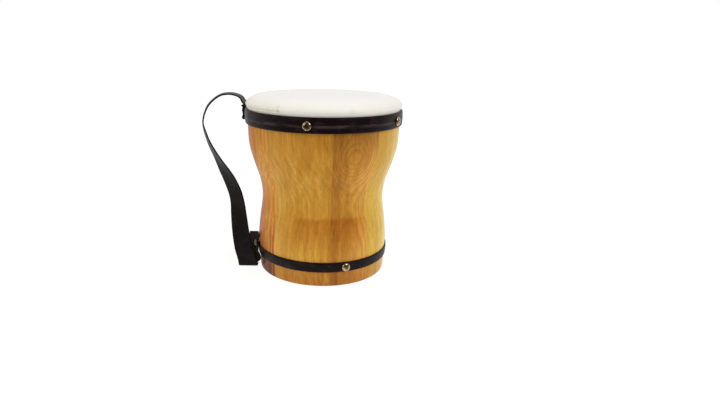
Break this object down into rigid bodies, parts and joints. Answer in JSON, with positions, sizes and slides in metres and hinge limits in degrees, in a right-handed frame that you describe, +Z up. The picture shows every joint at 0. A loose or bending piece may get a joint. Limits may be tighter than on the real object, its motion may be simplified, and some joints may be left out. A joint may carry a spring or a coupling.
{
  "type": "bongo drum",
  "caption": "Single hand drum with a waisted stave shell, tacked skin head, studded leather bands and a leather carrying strap.",
  "frame": {"origin": "centre of the footprint, on the surface that the drum stands on", "axes": "+Z up along the drum's axis, -Y towards the front, -X towards the carrying strap"},
  "size_m": [0.2056, 0.1586, 0.1788],
  "materials": {
    "wood": "clear gloss lacquer",
    "skin": "bare rawhide, satin",
    "leather": "black, semi-gloss",
    "strap_leather": "black, satin",
    "brass": "polished",
    "steel": "plain"
  },
  "bodies": {
    "root": {"stave_1": "wood", "stave_2": "wood", "stave_3": "wood", "stave_4": "wood", "stave_5": "wood", "stave_6": "wood", "stave_7": "wood", "stave_8": "wood", "head": "skin", "top_band": "leather", "bottom_band": "leather", "top_band_tack_1": "brass", "top_band_tack_2": "brass", "top_band_tack_3": "brass", "top_band_tack_4": "brass", "bottom_band_tack_1": "brass", "bottom_band_tack_2": "brass", "bottom_band_tack_3": "brass", "strap_top_tack": "brass", "strap_bottom_tack": "brass", "skin_tack_01": "steel", "skin_tack_02": "steel", "skin_tack_03": "steel", "skin_tack_04": "steel", "skin_tack_05": "steel", "skin_tack_06": "steel", "skin_tack_07": "steel", "skin_tack_08": "steel", "skin_tack_09": "steel", "skin_tack_10": "steel", "skin_tack_11": "steel", "skin_tack_12": "steel", "skin_tack_13": "steel", "skin_tack_14": "steel", "skin_tack_15": "steel", "skin_tack_16": "steel", "skin_tack_17": "steel", "skin_tack_18": "steel", "skin_tack_19": "steel", "skin_tack_20": "steel", "strap": "strap_leather"}
  },
  "joints": []
}
